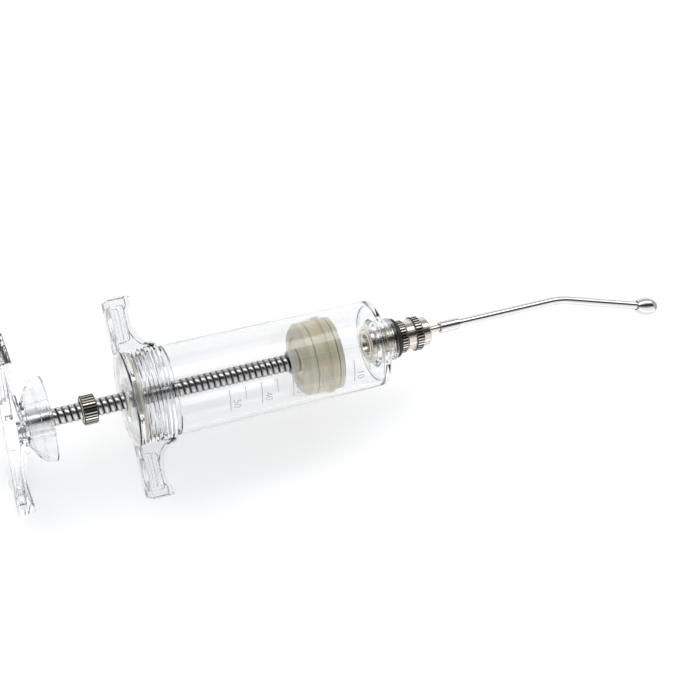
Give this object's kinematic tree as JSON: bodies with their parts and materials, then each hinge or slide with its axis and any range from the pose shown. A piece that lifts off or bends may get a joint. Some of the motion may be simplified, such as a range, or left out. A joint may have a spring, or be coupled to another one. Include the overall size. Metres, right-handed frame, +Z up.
{
  "type": "hand dosing syringe",
  "caption": "Hand syringe with a clear barrel, a winged screw cap, a threaded plunger rod with a dose nut and T-handle, and a bent ball-tipped needle.",
  "frame": {"origin": "on the barrel's axis, at the middle of the whole length, width and height", "axes": "+X along the barrel's axis towards the needle's tip, +Y along the cap's upper wing, +Z up as it lies on a table"},
  "size_m": [0.2794, 0.077, 0.0608],
  "materials": {
    "clear_plastic": "clear moulded, polished",
    "ivory_plastic": "satin moulded",
    "ivory_silicone": "satin, slightly translucent",
    "white_nylon": "satin",
    "dark_rubber": "matt",
    "steel": "polished stainless",
    "nickel": "bright nickel plating over brass"
  },
  "bodies": {
    "barrel_body": {"barrel": "clear_plastic", "rear_cap": "clear_plastic", "cap_gasket": "ivory_silicone", "rod_guide_bush": "white_nylon", "nose_fitting": "nickel", "nose_nut": "nickel", "nose_gasket": "dark_rubber"},
    "piston": {"piston_back_nut": "white_nylon", "piston_back_plate": "ivory_plastic", "piston_seal": "ivory_silicone", "piston_front_plate": "ivory_plastic", "piston_screw": "steel"},
    "rod": {"plunger_rod": "steel", "handle": "clear_plastic", "handle_insert": "steel"},
    "nut_ring": {"dose_nut_ring": "white_nylon"},
    "nut": {"dose_nut": "nickel"},
    "collar": {"lock_collar": "nickel"},
    "needle": {"needle_hub": "nickel", "needle_ferrule": "steel", "needle_tube": "steel", "needle_ball": "steel"}
  },
  "joints": [
    {"name": "plunger_slide", "type": "slide", "parent": "barrel_body", "child": "piston", "axis": [1, 0, 0], "range_m": [-0.0605, 0.011]},
    {"name": "rod_turn", "type": "hinge", "parent": "piston", "child": "rod", "pos_m": [-0.0241, 0, 0], "axis": [1, 0, 0], "continuous": true},
    {"name": "dose_nut_travel", "type": "slide", "parent": "rod", "child": "nut_ring", "axis": [1, 0, 0], "range_m": [-0.0115, 0]},
    {"name": "dose_nut_turn", "type": "hinge", "parent": "nut_ring", "child": "nut", "pos_m": [-0.10713, 0, 0], "axis": [1, 0, 0], "range_deg": [-1730, 0]},
    {"name": "collar_turn", "type": "hinge", "parent": "barrel_body", "child": "collar", "pos_m": [0.0257, 0, 0], "axis": [1, 0, 0], "range_deg": [-362, 0]},
    {"name": "needle_pull", "type": "slide", "parent": "barrel_body", "child": "needle", "axis": [1, 0, 0], "range_m": [0, 0.0025]}
  ],
  "couplings": [
    {"joint": "dose_nut_turn", "follows": "dose_nut_travel", "rad_per_m": 2618},
    {"joint": "collar_turn", "follows": "needle_pull", "rad_per_m": -2513.3}
  ]
}
